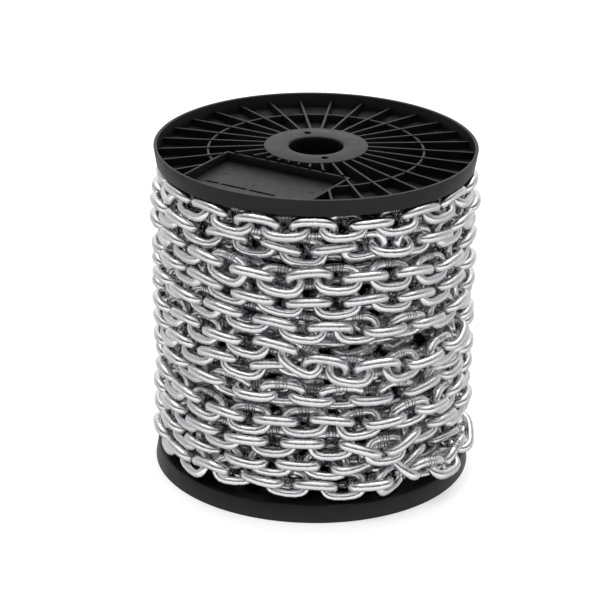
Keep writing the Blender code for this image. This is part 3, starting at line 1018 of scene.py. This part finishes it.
class Settling:
    """Links as rigid loops of wire that push each other apart, and away from the barrel and the webs."""

    SAMPLES = 22
    TOUCH_GAP = 0.05 * MM
    WALL_GAP = 0.25 * MM
    OUTER_GAP = 1.5 * MM  # inside the solids' box
    GYRATION = 8.5 * MM
    CHECK_ALL_EVERY = 8
    CHECK_NEAR = 2.5 * MM  # wires nearer than this are followed between two checks of all
    EASE = 1.2
    LONGEST_MOVE, WIDEST_TURN = 1.5 * MM, 0.12

    def __init__(self, chain, reel, centre, turn):
        self.wire, self.reach = chain.wire, chain.pitch + 2 * chain.wire + 3 * MM
        self.centre, self.turn = centre.copy(), turn.copy()
        self.home, self.home_turn = centre.copy(), turn.copy()
        self.line = wire_line(chain, self.SAMPLES)
        self.sample_step = wire_length(chain) / self.SAMPLES
        self.barrel_r = reel.barrel_r
        self.low, self.high = BOTTOM_BOX[1][2], TOP_BOX[0][2]

    def closest(self, wires, first, second):
        """The nearest points of two wires, refined along the wires' own directions."""
        count = self.SAMPLES
        apart = wires[first][:, :, None] - wires[second][:, None]
        nearest = np.einsum("abcd,abcd->abc", apart, apart).reshape(len(first), -1).argmin(1)
        a, b = nearest // count, nearest % count
        at_a, at_b = wires[first, a].astype(float), wires[second, b].astype(float)
        dir_a = (wires[first, (a + 1) % count] - wires[first, (a - 1) % count]).astype(float)
        dir_b = (wires[second, (b + 1) % count] - wires[second, (b - 1) % count]).astype(float)
        dir_a /= np.linalg.norm(dir_a, axis=1, keepdims=True)
        dir_b /= np.linalg.norm(dir_b, axis=1, keepdims=True)
        between = at_a - at_b
        lean = (dir_a * dir_b).sum(1)
        shared = np.maximum(1 - lean * lean, 0.05)
        a_on, b_on = (dir_a * between).sum(1), (dir_b * between).sum(1)
        most = 0.55 * self.sample_step
        at_a += dir_a * np.clip((lean * b_on - a_on) / shared, -most, most)[:, None]
        at_b += dir_b * np.clip((b_on - lean * a_on) / shared, -most, most)[:, None]
        return at_a, at_b

    def push_links(self, wires, moves, turns, counts):
        at_a, at_b = self.closest(wires, self.first, self.second)
        between = at_a - at_b
        distance = np.maximum(np.linalg.norm(between, axis=1), 1e-9)
        self.distance = distance
        hit = distance < self.wire + self.TOUCH_GAP
        a, b, normal = self.first[hit], self.second[hit], between[hit] / distance[hit, None]
        depth = self.wire + self.TOUCH_GAP - distance[hit]
        arm_a = np.cross(at_a[hit] - self.centre[a], normal)
        arm_b = np.cross(at_b[hit] - self.centre[b], normal)
        inertia = self.GYRATION**2
        share = depth / (2 + ((arm_a**2).sum(1) + (arm_b**2).sum(1)) / inertia)
        for which, arm, sign in ((a, arm_a, 1.0), (b, arm_b, -1.0)):
            np.add.at(moves, which, sign * share[:, None] * normal)
            np.add.at(turns, which, sign * share[:, None] * arm / inertia)
            np.add.at(counts, which, 1)
        return depth

    def push_walls(self, wires, moves, turns, counts):
        half = self.wire / 2
        x, y, z = np.abs(wires[:, :, 0]), np.abs(wires[:, :, 1]), wires[:, :, 2]
        radius = np.hypot(x, y)
        limit_x = CAD_BOX[1][0] * radius / np.maximum(x, 1e-9)
        limit_y = CAD_BOX[1][1] * radius / np.maximum(y, 1e-9)
        limit = np.minimum(limit_x, limit_y)
        upward = np.array((0.0, 0.0, 1.0))
        walls = (
            (self.barrel_r + half + self.WALL_GAP - radius, outward),
            (radius - (limit - half - self.OUTER_GAP), lambda p: -outward(p)),
            (self.low + half + self.WALL_GAP - z, lambda p: np.tile(upward, (len(p), 1))),
            (z - (self.high - half - self.WALL_GAP), lambda p: np.tile(-upward, (len(p), 1))),
        )
        inertia = self.GYRATION**2
        for depths, direction in walls:
            deepest = depths.argmax(1)
            depth = depths[np.arange(len(depths)), deepest]
            hit = np.nonzero(depth > 0)[0]
            at = wires[hit, deepest[hit]].astype(float)
            normal = direction(at) if len(hit) else np.zeros((0, 3))
            arm = np.cross(at - self.centre[hit], normal)
            share = depth[hit] / (1 + (arm**2).sum(1) / inertia)
            moves[hit] += share[:, None] * normal
            turns[hit] += share[:, None] * arm / inertia
            counts[hit] += 1

    def run(self, steps, hold, hold_turn):
        """Settles for some steps, held less and less to the laid places. Returns the last overlaps."""
        depth = np.zeros(1)
        for step in range(steps):
            if step % self.CHECK_ALL_EVERY == 0:
                self.first, self.second = near_pairs(self.centre, self.reach)
            wires = (self.centre[:, None] + self.line @ self.turn.transpose(0, 2, 1)).astype(np.float32)
            moves, turns = np.zeros_like(self.centre), np.zeros_like(self.centre)
            counts = np.zeros(len(self.centre))
            depth = self.push_links(wires, moves, turns, counts)
            if step % self.CHECK_ALL_EVERY == 0:
                close = self.distance < self.wire + self.CHECK_NEAR
                self.first, self.second = self.first[close], self.second[close]
            self.push_walls(wires, moves, turns, counts)
            ease = (self.EASE / np.sqrt(np.maximum(counts, 1)))[:, None]
            still_held = 1 - step / max(steps - 1, 1)
            error = sum(np.cross(self.turn[:, :, k], self.home_turn[:, :, k]) for k in range(3)) / 2
            moved = np.clip(ease * moves, -self.LONGEST_MOVE, self.LONGEST_MOVE)
            turned = np.clip(ease * turns, -self.WIDEST_TURN, self.WIDEST_TURN)
            self.centre += moved + hold * still_held * (self.home - self.centre)
            self.turn = rotations(turned + hold_turn * still_held * error) @ self.turn
        left, _, right = np.linalg.svd(self.turn)
        self.turn = left @ right  # true rotations again
        return depth


# Chain: its links

CAGE_STATIONS = 10
CAGE_SIDES = 6
# A subdivided cage draws in, to these shares of its radii.
CAGE_BEND_SHARE = 0.936
CAGE_WIRE_SHARE = 0.8255


def model_link(chain):
    """One link: a ring of wire whose halves are drawn apart."""
    deselect()
    bpy.ops.mesh.primitive_torus_add(
        major_segments=CAGE_STATIONS, major_radius=bend_r(chain) / CAGE_BEND_SHARE,
        minor_segments=CAGE_SIDES, minor_radius=chain.wire / 2 / CAGE_WIRE_SHARE, generate_uvs=True,
    )
    link = bpy.context.object
    link.name = "link"
    edit(link)
    for side in (-1, 1):
        select_points(lambda p: side * p.x > 0)
        bpy.ops.transform.translate(value=(side * half_straight(chain), 0, 0))
    leave_edit()
    return link


def link_arrays(link):
    """A link's vertices, its faces, and a UV map: u along the wire and v around it, each from 0 to 1."""
    mesh = link.data
    points = np.array([vert.co for vert in mesh.vertices])
    faces = np.array([list(face.vertices) for face in mesh.polygons])
    stations, sides = CAGE_STATIONS, CAGE_SIDES
    middles = points.reshape(stations, sides, 3).mean(1)
    steps = np.linalg.norm(np.diff(middles, axis=0, append=middles[:1]), axis=1)
    run = np.concatenate([[0], np.cumsum(steps)])
    station, side = faces // sides, faces % sides
    station = np.where((station == 0) & (station.max(1) == stations - 1)[:, None], stations, station)
    side = np.where((side == 0) & (side.max(1) == sides - 1)[:, None], sides, side)
    uv = np.stack([run[station] / run[-1], side / sides], 2).reshape(-1, 2)
    return points, faces, uv


def chain_piece(name, arrays, centre, turn, tones):
    """A run of links as one mesh, each with its own tone."""
    points, faces, uv = arrays
    placed = centre[:, None] + points @ turn.transpose(0, 2, 1)
    first_points = np.arange(len(centre))[:, None, None] * len(points)
    all_faces = (faces[None] + first_points).reshape(-1, faces.shape[1])
    mesh = bpy.data.meshes.new(name)
    mesh.from_pydata(placed.reshape(-1, 3).tolist(), [], all_faces.tolist())
    layer = mesh.uv_layers.new(name="wire")
    layer.data.foreach_set("uv", np.tile(uv, (len(centre), 1)).ravel())
    tone = mesh.attributes.new("link_tone", "FLOAT", "POINT")
    tone.data.foreach_set("value", np.repeat(tones, len(points)))
    mesh.shade_smooth()
    obj = bpy.data.objects.new(name, mesh)
    bpy.context.scene.collection.objects.link(obj)
    return obj


def smooth_links(obj):
    modifier = obj.modifiers.new("Round Wire", "SUBSURF")
    modifier.levels = 1
    modifier.render_levels = 1


# The inner turns, in millimetres and degrees: from a web to the nearest one, and how unevenly they lie
FROM_WEB = 8.7
HEIGHT_PLAY = 1.4
TWIST_PLAY = 25
START_PLAY = 10


def inner_turns(rng):
    """Level turns that fill the barrel from web to web."""
    low, high = BOTTOM_BOX[1][2] / MM + FROM_WEB, TOP_BOX[0][2] / MM - FROM_WEB
    places = (-180, -60, 60)
    return [
        Turn(
            heights=[(place, height + rng.uniform(-HEIGHT_PLAY, HEIGHT_PLAY)) for place in places],
            out=((0, 0.0),),
            twist=[(place, rng.uniform(-TWIST_PLAY, TWIST_PLAY)) for place in places],
            edge_link=rng.uniform(-START_PLAY, START_PLAY),
        )
        for height in np.linspace(low, high, INNER_TURN_COUNT)
    ]


# How firmly the links are held to their laid places at first, while they settle
HOLD_PLACE, HOLD_TURN = 0.06, 0.10


class REEL_OT_chain(bpy.types.Operator):
    """Wind the chain: lay both layers' links, let them settle, and model them turn by turn"""

    bl_idname = "chain_reel.chain"
    bl_label = "Chain"

    def execute(self, context):
        chain, reel = context.scene.chain_sizes, context.scene.reel_sizes
        rng = np.random.default_rng(chain.seed)
        layers = (OUTER_TURNS, inner_turns(rng))
        radii = (chain.outer_r, chain.inner_r)
        outer, inner = (lay_links(turns, radius) for turns, radius in zip(layers, radii))
        turns = [link_turns(links, layer, chain, rng) for links, layer in zip((outer, inner), layers)]
        centres = np.concatenate([outer.centre, inner.centre])
        settling = Settling(chain, reel, centres, np.concatenate(turns))
        settling.run(chain.steps, HOLD_PLACE, HOLD_TURN)
        depth = settling.run(chain.steps // 3, 0.0, 0.0)
        print("deepest overlap of two links, mm:", round(float(depth.max()) / MM, 2))
        material = zinc_material(context.scene.finishes, chain)
        link = model_link(chain)
        arrays = link_arrays(link)
        bpy.data.objects.remove(link)
        tones = rng.random(len(settling.centre))
        start = 0
        for layer, links in (("outer", outer), ("inner", inner)):
            for number in range(int(links.turn.max()) + 1):
                own = start + np.nonzero(links.turn == number)[0]
                name = f"chain_{layer}_turn_{number + 1:02d}"
                piece = chain_piece(name, arrays, settling.centre[own], settling.turn[own], tones[own])
                if layer == "outer":
                    smooth_links(piece)
                finish_piece(piece, material, ZINC_SLOT, f"chain_{layer}_layer")
            start += len(links.centre)
        return {"FINISHED"}


# Stage


def aim(obj, target):
    obj.rotation_euler = (Vector(target) - obj.location).to_track_quat("-Z", "Y").to_euler()


def add_softbox(name, place, target, size, power):
    light = bpy.data.lights.new(name, "AREA")
    light.shape = "RECTANGLE"
    light.size, light.size_y = size
    light.energy = power
    lamp = bpy.data.objects.new(name, light)
    bpy.context.scene.collection.objects.link(lamp)
    lamp.location = place
    aim(lamp, target)


# How dark the camera's side of the studio is, from the horizon (0) to straight up (1), and the directions
# between which that side begins, as the Y of a direction
DARK_BAND = ((0.0, 0.25), (0.10, 0.70), (0.18, 1.0), (0.44, 1.0), (0.58, 0.45), (0.72, 0.0))
DARK_FROM, DARK_TO = 0.15, -0.60
DARK_LEVEL = 0.09
SIDE_SHARE = 0.52  # how bright the walls at the sides are, next to the one at the back
SIDE_FROM, SIDE_TO = 0.35, 0.85
GROUND_NEAR, GROUND_FAR = 1.40, 0.84
GROUND_FAR_FROM = 0.30
GROUND_BENEATH = 0.62  # how bright the ground right beneath is, next to the ground farther off
BENEATH_FROM, BENEATH_TO = -0.15, -0.85
HORIZON = 0.03  # half the height of the blend from the ground to the walls
SOFTBOX_HEIGHT, SOFTBOX_BACK = 2.6, 0.75
SOFTBOX_SIZE = (3.2, 3.0)


def studio_surround(strength):
    """Pale walls that are dark on the camera's side, over ground that is brightest at the front."""
    nodes = Nodes(bpy.data.worlds.new("studio surround"), "Background")
    direction = nodes.add("ShaderNodeTexCoord").outputs["Generated"]
    parts = nodes.add("ShaderNodeSeparateXYZ", {0: direction}).outputs
    band = nodes.add("ShaderNodeValToRGB", {0: parts["Z"]})
    ramp = band.color_ramp
    while len(ramp.elements) < len(DARK_BAND):
        ramp.elements.new(0.5)
    for element, (position, value) in zip(ramp.elements, DARK_BAND):
        element.position = position
        element.color = (value, value, value, 1.0)
    front = nodes.span(parts["Y"], DARK_FROM, DARK_TO, smooth=True)
    aside = nodes.span(nodes.math("ABSOLUTE", parts["X"]), SIDE_FROM, SIDE_TO, smooth=True)
    walls = nodes.span(aside, 0.0, 1.0, strength, strength * SIDE_SHARE)
    above = nodes.span(nodes.math("MULTIPLY", band.outputs[0], front), 0.0, 1.0, walls, DARK_LEVEL)
    nearness = nodes.span(parts["Y"], GROUND_FAR_FROM, DARK_TO, smooth=True)
    ground = nodes.span(nearness, 0.0, 1.0, GROUND_FAR, GROUND_NEAR)
    beneath = nodes.span(parts["Z"], BENEATH_FROM, BENEATH_TO, 1.0, GROUND_BENEATH)
    below = nodes.math("MULTIPLY", ground, beneath)
    nodes.feed(nodes.shader.inputs["Strength"], nodes.span(parts["Z"], -HORIZON, HORIZON, below, above))
    nodes.shader.inputs["Color"].default_value = (1.0, 1.0, 1.0, 1.0)
    bpy.context.scene.world = nodes.owner


def add_camera():
    data = bpy.data.cameras.new("camera")
    data.lens = CAMERA_LENS
    data.sensor_width = SENSOR_W
    camera = bpy.data.objects.new("camera", data)
    bpy.context.scene.collection.objects.link(camera)
    turn = Matrix.Rotation(math.pi / 2 - CAMERA_PITCH, 4, "X") @ Matrix.Rotation(CAMERA_ROLL, 4, "Z")
    camera.matrix_world = Matrix.Translation(CAMERA_PLACE) @ turn
    bpy.context.scene.camera = camera


class REEL_OT_stage(bpy.types.Operator):
    """Set up the pale floor, the soft studio light and the camera"""

    bl_idname = "chain_reel.stage"
    bl_label = "Stage"

    def execute(self, context):
        stage = context.scene.stage_settings
        deselect()
        bpy.ops.mesh.primitive_plane_add(size=stage.floor_size)
        floor = context.object
        floor.name = "floor"
        dress(floor, floor_material())
        floor.visible_glossy = False  # the surround's own ground is what the reel reflects
        studio_surround(stage.surround)
        place = (0, SOFTBOX_BACK, SOFTBOX_HEIGHT)
        add_softbox("overhead softbox", place, (0, SOFTBOX_BACK, 0), SOFTBOX_SIZE, stage.softbox)
        add_camera()
        context.scene.view_settings.view_transform = "Standard"
        return {"FINISHED"}


class REEL_PT_panel(bpy.types.Panel):
    """The reel's operators and settings"""

    bl_label = "Chain Reel"
    bl_idname = "REEL_PT_panel"
    bl_space_type = "VIEW_3D"
    bl_region_type = "UI"
    bl_category = "Chain Reel"

    def draw(self, context):
        layout = self.layout
        for operator in OPERATORS:
            layout.operator(operator.bl_idname)
        scene = context.scene
        for group in (scene.reel_sizes, scene.chain_sizes, scene.finishes, scene.stage_settings):
            box = layout.box()
            for key in group.__annotations__:
                box.prop(group, key)


OPERATORS = (REEL_OT_flanges, REEL_OT_barrel, REEL_OT_chain, REEL_OT_stage)
CLASSES = (ReelSizes, ChainSizes, Finishes, StageSettings, *OPERATORS, REEL_PT_panel)


def register():
    for item in CLASSES:
        bpy.utils.register_class(item)
    bpy.types.Scene.reel_sizes = PointerProperty(type=ReelSizes)
    bpy.types.Scene.chain_sizes = PointerProperty(type=ChainSizes)
    bpy.types.Scene.finishes = PointerProperty(type=Finishes)
    bpy.types.Scene.stage_settings = PointerProperty(type=StageSettings)


def unregister():
    for name in ("reel_sizes", "chain_sizes", "finishes", "stage_settings"):
        delattr(bpy.types.Scene, name)
    for item in reversed(CLASSES):
        bpy.utils.unregister_class(item)


def main():
    register()
    bpy.ops.chain_reel.stage()
    bpy.ops.chain_reel.flanges()
    bpy.ops.chain_reel.barrel()
    bpy.ops.chain_reel.chain()


if __name__ == "__main__":
    main()
